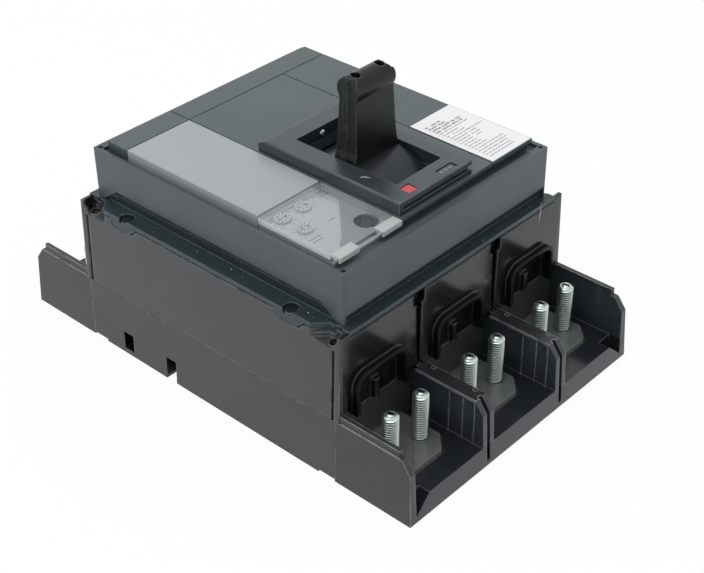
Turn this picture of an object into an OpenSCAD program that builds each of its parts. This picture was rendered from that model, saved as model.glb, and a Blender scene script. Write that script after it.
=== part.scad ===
// Moulded case circuit breaker, three poles, toggle operated.
// It lies on its back: X is the width, Y the length with the line side at +Y,
// Z rises from the mounting plane to the front. Millimetres.

/* [Case] */
// Width of the case at its back
back_w = 210; // [206:1:216]
// Width of the case at the shelf
case_w = 202; // [199:1:205]
// Length of the base between the two terminal shields
base_l = 212.4; // [211:0.2:213.4]
// Length of the pole housing
pole_l = 218; // [217:1:222]
// Overall length over both terminal shields
overall_l = 327; // [322:1:336]
// Distance from pole to pole
pole_pitch = 70; // [69:0.5:71]
// Height of the base
base_h = 43; // [42:0.5:44]
// Height of the pole housing on the base
pole_h = 54.3; // [53.5:0.1:56]
// Thickness of the shelf on the pole housing
shelf_t = 3.7; // [3.2:0.1:4.5]
// Width of the blind slots in the side walls
side_slot_w = 9; // [6:0.5:10]
// Height of the blind slots in the side walls
side_slot_h = 13; // [10:0.5:16]

/* [Front cover] */
// Height of the front cover on the shelf
cover_h = 33.5; // [32:0.5:35]
// Shelf left free along each side of the front cover
ledge_x = 9.8; // [9.4:0.1:10.4]
// Shelf left free along each end of the front cover
ledge_y = 5.9; // [5.4:0.1:6.4]
// Distance from the edge of the front cover to the panels along the sides
margin_x = 5.7; // [5.3:0.1:6.5]
// Distance from the edge of the front cover to the panels along the ends
margin_y = 8.3; // [7.7:0.1:9]
// Height of the panels above the rim of the cover
panel_rise = 5.3; // [4.6:0.1:6.4]
// Gap between neighbouring panels
panel_gap = 0.8; // [0.5:0.1:1.2]
// Height of the dark neck under the front cover
neck_h = 8.8; // [6:0.2:11]
// Depth of the neck under the front cover
neck_d = 2.4; // [1:0.2:3.2]

/* [Toggle] */
// Radius of the drum that closes the toggle window
drum_r = 52; // [50:0.5:53]
// Height of the toggle above its escutcheon
toggle_rise = 51.6; // [44:0.4:60]
// Width of the toggle under its head
toggle_w = 32.4; // [28:0.4:34]
// Thickness of the toggle where it leaves the drum
toggle_t = 16.5; // [13:0.5:18]
// Length of the toggle window
window_l = 78; // [76:1:80]
// Width of the toggle window
window_w = 40.6; // [40.2:0.2:43]
// Height of the escutcheon on the panel
escutcheon_t = 8.6; // [8:0.2:10]

/* [Terminals] */
// Width of a terminal pad
pad_w = 44; // [40:1:46]
// Thickness of a terminal pad
pad_t = 8; // [6:0.5:8.5]
// Diameter of a terminal stud
stud_d = 9.8; // [8:0.1:10.5]
// Distance between the two studs of a pole
stud_pitch = 26; // [22:0.5:28]
// Length of a stud above its pad
stud_l = 32; // [27:1:43]
// Distance from the studs to the front of the shield
stud_in = 34; // [32:0.5:36]
// Height of the shield floor
floor_h = 14.5; // [14:0.5:16]
// Height of the outer shield walls
wall_h = 43.4; // [42.8:0.2:46]
// Height of the partitions between the poles
partition_h = 46; // [45:0.2:47]
// Thickness of the outer shield walls
wall_t = 5.5; // [4:0.5:6.5]
// Width of a terminal hood
hood_w = 44; // [40:1:48]
// Height of a terminal hood above the base
hood_h = 27.5; // [25:0.5:34]

/* [Trip unit] */
// Width of the trip unit
trip_w = 50.2; // [49:0.2:51]
// Length of the clear window
pane_l = 61.4; // [60:0.2:63]
// Thickness of the clear window
pane_t = 1.6; // [1.2:0.1:2]
// Diameter of a setting dial
dial_d = 10; // [8:0.5:10.5]

/* [Mounting] */
// Diameter of the mounting holes
mount_d = 6.5; // [5.5:0.1:6.7]
// Distance from the side of the case in to a mounting hole
mount_in_x = 4.5; // [4.3:0.1:5]
// Distance from the end of the base in to a mounting hole
mount_in_y = 5.4; // [5.2:0.1:6.2]

/* [Hidden] */
$fn = 48;
eps = 0.01;
fit = 0.3;
half_l = overall_l / 2;
base_end = base_l / 2;
pole_end = pole_l / 2;
// how far the pole housing stands out over each end of the base
base_step = 2.8;
// distances between the mounting holes, which go down through all parts of the case
mount_x = min(case_w, back_w) - 2 * mount_in_x;
mount_y = min(base_l, pole_l - 2 * base_step) - 2 * mount_in_y;

// heights of the stack, from the mounting plane up
split_h = base_h + pole_h;
shelf_h = split_h + shelf_t;
rim_h = shelf_h + cover_h;
panel_h = rim_h + panel_rise;
escutcheon_h = panel_h + escutcheon_t;
toggle_top = escutcheon_h + toggle_rise;

// outlines of the front cover and of the group of panels on it
cover_w = case_w - 2 * ledge_x;
cover_l = pole_l - 2 * ledge_y;
panel_w = cover_w - 2 * margin_x;
panel_x0 = -panel_w / 2;
panel_x1 = panel_w / 2;
panel_y0 = -cover_l / 2 + margin_y;
panel_y1 = cover_l / 2 - margin_y;

// colours of the materials
charcoal = "#5b5d60";
dark = "#2e3033";
black = "#232425";
silver_grey = "#a9adb1";
tin = "#8d8f8c";
zinc = "#b9c3c8";

// half width of the drafted case at height z
function side(z) = back_w / 2 - (back_w - case_w) / 2 * z / shelf_h;

// block with drafted X sides from height z0 to z1 and the length l, g smaller at both sides
module drafted(z0, z1, l, g = 0) {
    rotate([90, 0, 0])
        linear_extrude(l, center = true)
            polygon([[g - side(z0), z0], [side(z0) - g, z0], [side(z1) - g, z1], [g - side(z1), z1]]);
}

// box given by its two corners
module span(a, b) {
    translate(a) cube(b - a);
}

// plate from x0 to x0 + t, its outline given as Y along and Z up
module upright(x0, t) {
    translate([x0, 0, 0]) rotate([90, 0, 90]) linear_extrude(t) children();
}

// the children once at each end of the case
module both_ends() {
    children();
    mirror([0, 1, 0]) children();
}

// the children at each side of the case
module both_sides() {
    children();
    mirror([1, 0, 0]) children();
}

// the children at the four corners
module corners() {
    both_ends() both_sides() children();
}

// the children at each pole
module poles() {
    for (k = [-1, 0, 1])
        translate([k * pole_pitch, 0, 0]) children();
}

// rectangle centred on the origin with round corners
module round_rect(w, l, r) {
    square([w - 2 * r, l], center = true);
    square([w, l - 2 * r], center = true);
    for (x = [-1, 1], y = [-1, 1])
        translate([x * (w / 2 - r), y * (l / 2 - r)]) circle(r);
}

// ---- base ----
foot_rise = 1.6;
foot_gap = 12.5;
slot_depth = 9;
slot_near_y = 32;
slot_far_y = 72;
slot_z = 3.2;
pad_seat = 10;
pad_z1 = floor_h + 2.5;
pad_z0 = pad_z1 - pad_t;

module mount_hole(d, z0, z1) {
    translate([mount_x / 2, mount_y / 2, z0]) cylinder(d = d, h = z1 - z0);
}

// clip slots in a side, the nearer one open to the back
module side_slots() {
    for (at = [[slot_near_y, -1], [slot_far_y, slot_z]])
        span([side(0) - slot_depth, at[0] - side_slot_w / 2, at[1]],
             [side(0) + 1, at[0] + side_slot_w / 2, slot_z + side_slot_h]);
}

module base_housing() {
    color(charcoal)
    difference() {
        drafted(0, base_h, base_l);
        both_ends()
            span([-back_w, base_end - foot_gap, -1], [back_w, base_end + 1, foot_rise]);
        both_sides() side_slots();
        both_ends() poles()
            span([-pad_w / 2 - fit, base_end - pad_seat, pad_z0],
                 [pad_w / 2 + fit, base_end + 1, pad_z1 + fit]);
        corners() mount_hole(mount_d, -1, base_h + 1);
    }
}

// ---- pole housing ----
barrier_w = 5;
barrier_foot_w = 2.2;
barrier_top_w = 9.4;
barrier_top_h = 8.3;
barrier_depth = 14;
tab_w = 3;
tab_h = 3;
tab_l = 2.5;
hood_r = 9;
hood_t = 3;
hood_d = 4;
hood_recess = 3;
hood_bar_w = 6;
hood_bar_h = 13;
joint_groove = 0.35;
seam_past = 3.2;
seam_y = mount_y / 2 + seam_past;
seam_w = 2.2;
seam_d = 1.8;
sleeve_d = 8.6;
pocket_h = 5.3;
// the corner pocket starts this far before and beside its mounting hole
pocket_before = 13.8;
pocket_beside = 3;
pocket_y = mount_y / 2 - pocket_before;
pocket_x = mount_x / 2 - pocket_beside;
pocket_out = max(back_w, case_w) / 2 + 1;
pocket_wall = 2.4;
pocket_step = 0.8;
toggle_y = -38;
drum_gap = 1.2;
drum_w = 38;
drum_drop = 1.4;
axle_d = 10;
axle_l = 52;
axis_h = escutcheon_h - drum_drop - drum_r;
cavity_z = axis_h - 11;
screw_x = case_w / 2 - 3.5;
screw_y = 69;
tongue_y0 = 57.5;
tongue_y1 = 82;
tongue_slope = 4.5;
tongue_h = 4.3;
tongue_w = 10;
pocket_z = split_h - pocket_h;

// slots that hold the phase barriers, tapered downwards and wider again under the shelf
module barrier_slots() {
    foot = partition_h - tab_h - fit;
    for (x = [-0.5, 0.5] * pole_pitch) translate([x, 0, 0]) {
        span([-tab_w / 2 - fit, pole_end - barrier_depth, foot],
             [tab_w / 2 + fit, pole_end + 1, partition_h + fit]);
        translate([0, pole_end + 1, 0]) rotate([90, 0, 0])
            linear_extrude(barrier_depth + 1)
                polygon([[-barrier_foot_w / 2, foot + 1], [barrier_foot_w / 2, foot + 1],
                         [barrier_w / 2, split_h + 1], [-barrier_w / 2, split_h + 1]]);
        span([-barrier_top_w / 2, pole_end - barrier_depth + 2, split_h - barrier_top_h],
             [barrier_top_w / 2, pole_end + 1, split_h + 1]);
    }
}

// arched outline of a terminal hood seen from its end, t smaller all round
module hood_outline(t) {
    w = hood_w / 2 - t;
    r = hood_r - t;
    top = base_h + hood_h - t;
    translate([-w, base_h]) square([2 * w, top - r - base_h]);
    translate([-(w - r), base_h]) square([2 * (w - r), top - base_h]);
    for (x = [-1, 1]) translate([x * (w - r), top - r]) circle(r);
}

// what of a hood stands between the distances y0 and y1 from the middle of the case
module hood_layer(y0, y1, t) {
    translate([0, y1, 0]) rotate([90, 0, 0])
        linear_extrude(y1 - y0) hood_outline(t);
}

module hood() {
    difference() {
        hood_layer(pole_end - 1, pole_end + hood_d, 0);
        hood_layer(pole_end - 2, pole_end + hood_d + 1, hood_t);
    }
}

// bar that stands in the middle of a hood
module hood_bar() {
    translate([0, pole_end - hood_recess, base_h]) {
        intersection() {
            cylinder(d = hood_bar_w, h = hood_bar_h);
            span([-hood_bar_w, -1, 0], [hood_bar_w, hood_bar_w, hood_bar_h]);
        }
    }
}

// space for the drum, from height z0 up
module drum_space(z0, z1) {
    intersection() {
        translate([0, toggle_y, axis_h]) rotate([0, 90, 0])
            cylinder(r = drum_r + drum_gap, h = window_w, center = true, $fn = 96);
        span([-window_w, -base_l, z0], [window_w, base_l, z1]);
    }
}

// bearing of the axle, with the slot that it is laid in through up to height z1
module axle_bearing(z1) {
    d = axle_d + 2 * fit;
    l = axle_l + 2 * fit;
    axle_bore();
    translate([0, toggle_y, axis_h]) span([-l / 2, -d / 2, 0], [l / 2, d / 2, z1 - axis_h]);
}

module axle_bore() {
    translate([0, toggle_y, axis_h]) rotate([0, 90, 0])
        cylinder(d = axle_d + 2 * fit, h = axle_l + 2 * fit, center = true);
}

// tongue of the shelf that reaches down round a cover screw, g smaller all round, up to height z1
module screw_tongue(g, z1) {
    z0 = split_h - tongue_h + g;
    upright(case_w / 2 - tongue_w, tongue_w + 2)
        polygon([[tongue_y0 + g, z1], [tongue_y0 + g, split_h], [tongue_y0 + tongue_slope + g, z0],
                 [tongue_y1 - tongue_slope - g, z0], [tongue_y1 - g, split_h], [tongue_y1 - g, z1]]);
}

// plan of the open corner pocket round a mounting hole, with its diagonal s further in
module pocket_outline(s, end) {
    reach = case_w / 2 - pocket_x;
    polygon([[pocket_out, pocket_y - s], [case_w / 2, pocket_y - s], [pocket_x - s, pocket_y + reach - s],
             [pocket_x - s, end], [pocket_out, end]]);
}

// low walls that close a corner pocket towards the terminals
module pocket_walls() {
    end_y = pole_end - pocket_wall;
    top = shelf_h - 1.2;
    intersection() {
        union() {
            span([pocket_x, end_y, pocket_z - 1], [pocket_out, pole_end, top]);
            upright(case_w / 2 - pocket_wall, 2 * pocket_wall)
                polygon([[end_y - 5, pocket_z - 1], [end_y - 5, pocket_z + 0.5], [end_y - 0.8, pocket_z + 4],
                         [pole_end, top], [pole_end, pocket_z - 1]]);
        }
        drafted(pocket_z - 1, shelf_h, pole_l);
    }
}

module pole_housing() {
    color(dark)
    union() {
        difference() {
            drafted(base_h, split_h, pole_l);
            // fine groove along the joint with the base
            difference() {
                span([-back_w, -pole_l, base_h - 1], [back_w, pole_l, base_h + joint_groove]);
                drafted(base_h - 2, split_h, 3 * pole_l, joint_groove);
            }
            both_ends() barrier_slots();
            both_ends() poles() hood_layer(pole_end - hood_recess, pole_end + 1, hood_t);
            corners() mount_hole(mount_d, base_h - 1, pocket_z + 1);
            corners() mount_hole(sleeve_d, pocket_z - 2, split_h + 1);
            corners() translate([0, 0, pocket_z + 2.4]) linear_extrude(pocket_h)
                pocket_outline(pocket_step, pole_end - pocket_wall);
            corners() translate([0, 0, pocket_z]) linear_extrude(pocket_h + 1)
                pocket_outline(0, pole_end - pocket_wall);
            corners() span([side(base_h) - seam_d - 2, seam_y - seam_w / 2, base_h - 1],
                           [side(0) + 1, seam_y + seam_w / 2, split_h + 1]);
            drum_space(cavity_z, split_h + 1);
            axle_bearing(split_h + 1);
            corners() screw_tongue(0, split_h + 1);
            corners() translate([screw_x, screw_y, screw_tip]) cylinder(d = screw_d, h = pole_h);
        }
        corners() difference() {
            pocket_walls();
            mount_hole(sleeve_d, pocket_z - 2, shelf_h + 1);
        }
        both_ends() poles() {
            hood();
            hood_bar();
        }
    }
}

// ---- shelf ----
screw_d = 4;
screw_head_d = 7.4;
screw_head_h = 2;
recess_d = 9.6;
recess_h = 3;
screw_l = 14;
recess_z = shelf_h - recess_h;
screw_tip = recess_z - screw_l;
neck_slope = 12;
neck_half = cover_l / 2 - 6;
neck_end_h = 5.9;
shelf_gap_h = 1;
shelf_gap_d = 1.5;
tongue_gap = 0.8;
corner_leg = 1.5;

// neck between the shelf and the cover: g is what it lies back from the cover's faces
module neck(g) {
    // trapezoid along each long side
    upright(-cover_w / 2 + g, cover_w - 2 * g)
        polygon([[-neck_half, shelf_h - eps], [neck_half, shelf_h - eps],
                 [neck_half - neck_slope, shelf_h + neck_h], [-neck_half + neck_slope, shelf_h + neck_h]]);
    // lower band across each end
    l = cover_l / 2 - g;
    span([-cover_w / 2 + corner_leg, -l, shelf_h - eps], [cover_w / 2 - corner_leg, l, shelf_h + neck_end_h]);
}

// flat shelf with its corners cut off for the mounting holes, g smaller along the sides
module shelf_outline(g) {
    difference() {
        square([case_w - 2 * g, pole_l - 2 * g], center = true);
        corners() pocket_outline(0, pole_end + 1);
    }
}

module case_shelf() {
    color(dark)
    difference() {
        union() {
            // a step under the edge makes the shadow line over the pole housing
            translate([0, 0, split_h]) linear_extrude(shelf_gap_h + 1) shelf_outline(shelf_gap_d);
            translate([0, 0, split_h + shelf_gap_h]) linear_extrude(shelf_t - shelf_gap_h) shelf_outline(0);
            corners() intersection() {
                screw_tongue(tongue_gap, split_h + shelf_gap_h + 1);
                drafted(split_h - tongue_h - 1, shelf_h, pole_l);
            }
            neck(neck_d);
        }
        corners() translate([screw_x, screw_y, recess_z]) cylinder(d = recess_d, h = recess_h + 1);
        corners() translate([screw_x, screw_y, screw_tip]) cylinder(d = screw_d + fit, h = pole_h);
        corners() mount_hole(sleeve_d, split_h - 1, shelf_h + 1);
        drum_space(split_h - 1, panel_h);
        axle_bore();
    }
}

// ---- front cover ----
gutter_w = 2.9;
gutter_d = 2.5;
gutter_h = rim_h - gutter_d;
cover_r = 1.2;
corner_hole_d = 3;
corner_hole_in = 3.4;
corner_hole_h = 6;

module front_cover() {
    color(charcoal)
    difference() {
        translate([0, 0, shelf_h]) linear_extrude(cover_h) round_rect(cover_w, cover_l, cover_r);
        // gutter round the panels, and the bed that the panels stand on
        translate([0, 0, gutter_h]) linear_extrude(cover_h)
            round_rect(panel_w + 2 * gutter_w, panel_y1 - panel_y0 + 2 * gutter_w, 1);
        neck(-1);
        corners() translate([cover_w / 2 - corner_hole_in, cover_l / 2 - corner_hole_in, rim_h - corner_hole_h])
            cylinder(d = corner_hole_d, h = corner_hole_h + 1);
        drum_space(shelf_h - 1, rim_h + 1);
        trip_well();
    }
}

// well for the dials under the clear window
face_drop = 4.4;
trip_face_h = panel_h - face_drop;
trip_floor = trip_face_h - 8.4;
wall_trip = 1.8;
undercut_d = 3.5;
lip_t = 2.4;
trip_x = panel_x0 + trip_w;
trip_y0 = panel_y0 + undercut_d;
pane_y1 = panel_y0 + pane_l;
strip_y = panel_y1 - 17.3;
right_x = panel_x1 - 38.5;

module trip_well() {
    span([panel_x0 + wall_trip, trip_y0 + wall_trip, trip_floor],
         [trip_x - wall_trip, pane_y1 - wall_trip, rim_h + 1]);
}

// ---- front panels ----
// panel from (x0, y0) to (x1, y1), with half a gap along each edge that has a neighbour
module panel(x0, y0, x1, y1) {
    g = panel_gap / 2;
    span([x0 + (x0 > panel_x0 ? g : 0), y0 + (y0 > panel_y0 ? g : 0), gutter_h],
         [x1 - (x1 < panel_x1 ? g : 0), y1 - (y1 < panel_y1 ? g : 0), panel_h]);
}

// shadow gap under the front edge of the panels
module front_undercut() {
    span([panel_x0 - 1, panel_y0 - 1, gutter_h - 1], [panel_x1 + 1, trip_y0, panel_h - lip_t]);
}

module auxiliary_cover() {
    color(charcoal) panel(panel_x0, strip_y, trip_x, panel_y1);
}

module accessory_cover() {
    color(charcoal) panel(trip_x, strip_y, panel_x1, panel_y1);
}

module right_panel() {
    color(charcoal) difference() {
        panel(right_x, panel_y0, panel_x1, strip_y);
        front_undercut();
    }
}

module middle_panel() {
    color(charcoal)
    difference() {
        panel(trip_x, panel_y0, right_x, strip_y);
        front_undercut();
        toggle_opening();
        drum_space(gutter_h - 1, panel_h + 1);
        button_bore();
    }
}

// ---- trip unit ----
module trip_unit_cover() {
    color(silver_grey) panel(panel_x0, pane_y1, trip_x, strip_y);
}

dial_h = 1.2;
dial_slot_w = 1.4;
// places on the trip unit, from the outer front corner of the panels
dial_outer_from = [11.2, 53.4];
dial_inner_from = [27.7, 53.6];
dial_front_from = [12.3, 37.1];
port_from = [41.5, 17.8];
dial_outer_at = [panel_x0, panel_y0] + dial_outer_from;
dial_inner_at = [panel_x0, panel_y0] + dial_inner_from;
dial_front_at = [panel_x0, panel_y0] + dial_front_from;
dial_pin_d = 5;
dial_pin_l = 5;
port_at = [panel_x0, panel_y0] + port_from;
port_d = 14.5;
port_h = 3;
lug_l = 5.5;
lug_drop = 3.4;

module dial_holes() {
    for (p = [dial_outer_at, dial_inner_at, dial_front_at])
        translate([p[0], p[1], trip_floor + 1]) cylinder(d = dial_pin_d + 2 * fit, h = trip_face_h - trip_floor);
}

module trip_unit_face() {
    color(silver_grey)
    difference() {
        union() {
            span([panel_x0 + wall_trip + fit, trip_y0 + wall_trip + fit, trip_floor],
                 [trip_x - wall_trip - fit, pane_y1 - wall_trip - fit, trip_face_h]);
            // flange that rests on the bed round the well
            difference() {
                span([panel_x0, trip_y0, gutter_h],
                     [trip_x - panel_gap / 2, pane_y1 - panel_gap / 2, trip_face_h]);
                span([panel_x0 + wall_trip, trip_y0 + wall_trip, gutter_h - 1],
                     [trip_x - wall_trip, pane_y1 - wall_trip, trip_face_h - 1]);
            }
        }
        dial_holes();
        translate([port_at[0], port_at[1], trip_face_h - port_h]) cylinder(d = port_d, h = port_h + 1);
        // step that the hinge lugs turn in
        span([panel_x0 - 1, trip_y0 - 1, trip_face_h - 1.4], [trip_x, panel_y0 + lug_l + 1, trip_face_h + 1]);
    }
}

module dial(at) {
    translate([at[0], at[1], trip_face_h + fit]) {
        difference() {
            cylinder(d = dial_d, h = dial_h);
            // screwdriver slot
            translate([0, 0, dial_h]) cube([dial_d * 0.62, dial_slot_w, dial_h], center = true);
        }
        translate([0, 0, -dial_pin_l]) cylinder(d = dial_pin_d, h = dial_pin_l + eps);
    }
}
module dial_outer() { color(tin) dial(dial_outer_at); }
module dial_inner() { color(tin) dial(dial_inner_at); }
module dial_front() { color(tin) dial(dial_front_at); }

lug_w = 16;
lug_out = 1.2;
pane_out = 0.8;
pane_skirt = 4;
pane_edge = 1.4;
hinge_r = 1.6;
pane_z0 = panel_h - 0.2 - pane_t;
hinge_y = panel_y0 + 2.5;
hinge_z = pane_z0;
pane_x0 = panel_x0 - pane_out;
pane_x1 = trip_x - 0.2;

// clear window, a shallow tray with turned-down side and back edges
module window_pane() {
    y0 = panel_y0 + lug_l + 0.2;
    y1 = pane_y1 - panel_gap;
    z1 = pane_z0 + pane_t;
    color([0.85, 0.88, 0.9, 0.35]) {
        difference() {
            span([pane_x0, y0, z1 - pane_skirt], [pane_x1, y1, z1]);
            span([pane_x0 + pane_edge, y0 - 1, z1 - pane_skirt - 1],
                 [pane_x1 - pane_edge, y1 - pane_edge, pane_z0]);
        }
        // the pane reaches the front edge between the lugs
        span([pane_x0 + lug_w + 0.1, panel_y0, pane_z0], [pane_x1 - lug_w - 0.1, y0 + eps, z1]);
    }
}

module window_lugs() {
    z1 = pane_z0 + pane_t;
    color([0.88, 0.89, 0.88])
    for (x = [pane_x0, pane_x1 - lug_w]) {
        span([x, panel_y0 - lug_out, pane_z0], [x + lug_w, panel_y0 + lug_l + 0.2, z1]);
        span([x, panel_y0 - lug_out, z1 - lug_drop], [x + lug_w, panel_y0 - 0.1, z1]);
        translate([x, hinge_y, hinge_z]) rotate([0, 90, 0]) cylinder(r = hinge_r, h = lug_w);
    }
}

// ---- toggle escutcheon ----
esc_x0 = -34;
esc_x1 = 30;
esc_before = 54.6;
esc_behind = 56;
esc_y0 = toggle_y - esc_before;
esc_y1 = toggle_y + esc_behind;
esc_bevel = 1;
back_slope_y = 6;
back_slope_z = 3.1;
front_lip = 3;
front_gap = 3;
front_gap_d = 2.5;
button_w = 7;
button_at = [-18, esc_y0 + button_w];
button_sink = 0.6;
button_head = 1.8;
button_well = 6;
status_l = 15;
status_w = 6;
status_at = [12.5, esc_y0 + 5];
status_sink = 1.6;
button_stem_d = 5;

module button_bore() {
    translate([button_at[0], button_at[1], gutter_h - 1])
        cylinder(d = button_stem_d + 2 * fit, h = escutcheon_h);
}

// the window lies a little further to the front than the axis
module toggle_opening() {
    translate([-window_w / 2, toggle_y - window_l / 2 - 1, gutter_h - 1])
        cube([window_w, window_l, escutcheon_h]);
}

module toggle_escutcheon() {
    z1 = escutcheon_h;
    color(charcoal)
    difference() {
        intersection() {
            upright(esc_x0, esc_x1 - esc_x0)
                polygon([[esc_y0, panel_h], [esc_y0, z1], [esc_y1 - back_slope_y, z1],
                         [esc_y1, z1 - back_slope_z], [esc_y1, panel_h]]);
            // bevels along the sides
            translate([0, esc_y1, 0]) rotate([90, 0, 0]) linear_extrude(esc_y1 - esc_y0)
                polygon([[esc_x0, panel_h], [esc_x0, z1 - esc_bevel], [esc_x0 + esc_bevel, z1],
                         [esc_x1 - esc_bevel, z1], [esc_x1, z1 - esc_bevel], [esc_x1, panel_h]]);
        }
        toggle_opening();
        // shadow groove under the front lip
        span([esc_x0 + 3, esc_y0 - 1, z1 - front_lip - front_gap],
             [esc_x1 + 1, esc_y0 + front_gap_d, z1 - front_lip]);
        button_bore();
        translate([button_at[0], button_at[1], z1])
            cube([button_w + 2 * fit, button_w + 2 * fit, 2 * button_well], center = true);
        translate([status_at[0], status_at[1], z1])
            cube([status_l, status_w, 2 * status_sink], center = true);
    }
}

module status_window() {
    color("#6d6f5a")
        translate([status_at[0], status_at[1], escutcheon_h - 1.2])
            cube([status_l - 0.4, status_w - 0.4, 2 * (status_sink - 1.2)], center = true);
}

module trip_button() {
    top = escutcheon_h - button_sink;
    color("#c8474c") {
        translate([button_at[0], button_at[1], top - button_head / 2])
            cube([button_w, button_w, button_head], center = true);
        translate([button_at[0], button_at[1], gutter_h + 5])
            cylinder(d = button_stem_d, h = top - button_head / 2 - gutter_h - 5);
    }
}

// ---- toggle ----
drum_half_angle = 72;
hub_d = axle_d + 6;

module drum_sector(r, h) {
    a = drum_half_angle;
    rotate([0, 90, 0]) linear_extrude(h, center = true)
        intersection() {
            circle(r, $fn = 96);
            // fan about -X of the sketch, which is up
            polygon([[0, 0], for (k = [-1, -0.5, 0, 0.5, 1]) [-2 * r * cos(k * a), 2 * r * sin(k * a)]]);
        }
}

module toggle_drum() {
    color(black)
    translate([0, toggle_y, axis_h]) {
        drum_sector(drum_r, drum_w);
        rotate([0, 90, 0]) cylinder(d = axle_d, h = axle_l, center = true);
        rotate([0, 90, 0]) cylinder(d = hub_d, h = drum_w, center = true);
    }
}

head_r = 8;
head_edge = 5;
waist_t = 12.6;
blend_r = 4;
foot_w = 38;
foot_h = 12;
lobe_y = 2.6;
lobe_gap = 0.8;
gap_d = 0.7;
rim_w = 2.2;
end_d = 0.9;
lock_hole_d = 5.4;
lock_hole_x = 10;
lock_hole_y = -1;
lock_hole_tip = 6.4;
lock_hole_l = 16;
head_z = toggle_top - head_r;
drum_top = axis_h + drum_r;

// end view of the toggle: a blade with a round head and a blend under the head
module toggle_end() {
    reach = head_r + blend_r;
    bx = waist_t / 2 + blend_r;
    bz = sqrt(reach * reach - bx * bx);
    translate([0, head_z]) circle(head_r);
    polygon([[-toggle_t / 2, drum_top - 3], [toggle_t / 2, drum_top - 3],
             [waist_t / 2, head_z - bz], [waist_t / 2, head_z], [-waist_t / 2, head_z],
             [-waist_t / 2, head_z - bz]]);
    for (s = [-1, 1]) difference() {
        polygon([[0, head_z], [s * bx * head_r / reach, head_z - bz * head_r / reach],
                 [s * bx, head_z - bz], [0, head_z - bz]]);
        translate([s * bx, head_z - bz]) circle(blend_r);
    }
}

// front view of the toggle, g smaller at both sides: wide foot, upright sides, round top corners
module toggle_front(g) {
    w = toggle_w / 2 - g;
    f = foot_w / 2 - g;
    low = w + 0.8;
    polygon([[-f, drum_top - 3], [f, drum_top - 3], [f, drum_top + 1], [low + 0.6, drum_top + foot_h / 2],
             [low, drum_top + foot_h], [w, head_z - head_r], [w, toggle_top - head_edge],
             [-w, toggle_top - head_edge], [-w, head_z - head_r], [-low, drum_top + foot_h],
             [-low - 0.6, drum_top + foot_h / 2], [-f, drum_top + 1]]);
    translate([-w + head_edge, drum_top]) square([2 * (w - head_edge), toggle_top - drum_top]);
    for (s = [-1, 1]) translate([s * (w - head_edge), toggle_top - head_edge]) circle(head_edge);
}

// slice of the toggle between y0 and y1, g smaller at both sides
module toggle_slice(y0, y1, g) {
    intersection() {
        upright(-foot_w, 2 * foot_w) toggle_end();
        translate([0, y1, 0]) rotate([90, 0, 0]) linear_extrude(y1 - y0) toggle_front(g);
    }
}

module toggle_handle() {
    far = 2 * head_r;
    color(black)
    translate([0, toggle_y, 0]) difference() {
        union() {
            // the two lobes, the gap between them and the sunk end panels
            toggle_slice(lobe_y, far, 0);
            toggle_slice(lobe_y - lobe_gap - eps, lobe_y + eps, gap_d);
            toggle_slice(lobe_y - lobe_gap - rim_w, lobe_y - lobe_gap, 0);
            toggle_slice(-toggle_t / 2 + rim_w, lobe_y - lobe_gap - rim_w, end_d);
            toggle_slice(-far, -toggle_t / 2 + rim_w, 0);
        }
        // lock holes, pointed towards the back
        for (x = [-1, 1] * lock_hole_x)
            translate([x, lock_hole_y, toggle_top - lock_hole_l]) {
                cylinder(d = lock_hole_d, h = lock_hole_l + 1);
                linear_extrude(lock_hole_l + 1)
                    polygon([[-lock_hole_d / 2 + 0.2, 0.8], [lock_hole_d / 2 - 0.2, 0.8], [0, lock_hole_tip]]);
            }
        translate([0, 0, axis_h]) rotate([0, 90, 0])
            cylinder(r = drum_r, h = 3 * toggle_w, center = true, $fn = 96);
    }
}

// ---- terminals ----
pad_chamfer = 9;
pad_in = 17.5;
pad_front = half_l - pad_in;
stud_y = half_l - stud_in;
stud_top = pad_z1 + stud_l;
stud_tip = 1.5;
stud_neck_d = 11.6;

// plan of a pad from y0 to its front, g larger all round
module pad_outline(y0, g) {
    c = pad_chamfer;
    w = pad_w / 2 + g;
    f = pad_front + g;
    polygon([[-w, y0], [w, y0], [w, f - c - g / 2], [w - c - g / 2, f], [-w + c + g / 2, f], [-w, f - c - g / 2]]);
}

module terminal() {
    color(tin) translate([0, 0, pad_z0]) linear_extrude(pad_t) difference() {
        pad_outline(base_end - pad_seat + fit, 0);
        for (x = [-0.5, 0.5] * stud_pitch) translate([x, stud_y]) circle(d = stud_neck_d + fit);
    }
}

module studs() {
    color(zinc)
    for (x = [-0.5, 0.5] * stud_pitch) translate([x, stud_y, 0]) {
        translate([0, 0, pad_z0]) cylinder(d = stud_neck_d, h = pad_t);
        translate([0, 0, pad_z0]) cylinder(d = stud_d, h = stud_top - pad_z0 - stud_tip);
        translate([0, 0, stud_top - stud_tip]) cylinder(d1 = stud_d, d2 = stud_d - 2 * stud_tip, h = stud_tip);
    }
}

module line_pole(k) { translate([k * pole_pitch, 0, 0]) children(); }
module load_pole(k) { mirror([0, 1, 0]) line_pole(k) children(); }

module terminal_load_left() { load_pole(-1) terminal(); }
module terminal_load_middle() { load_pole(0) terminal(); }
module terminal_load_right() { load_pole(1) terminal(); }
module terminal_line_left() { line_pole(-1) terminal(); }
module terminal_line_middle() { line_pole(0) terminal(); }
module terminal_line_right() { line_pole(1) terminal(); }
module studs_load_left() { load_pole(-1) studs(); }
module studs_load_middle() { load_pole(0) studs(); }
module studs_load_right() { load_pole(1) studs(); }
module studs_line_left() { line_pole(-1) studs(); }
module studs_line_middle() { line_pole(0) studs(); }
module studs_line_right() { line_pole(1) studs(); }

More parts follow.
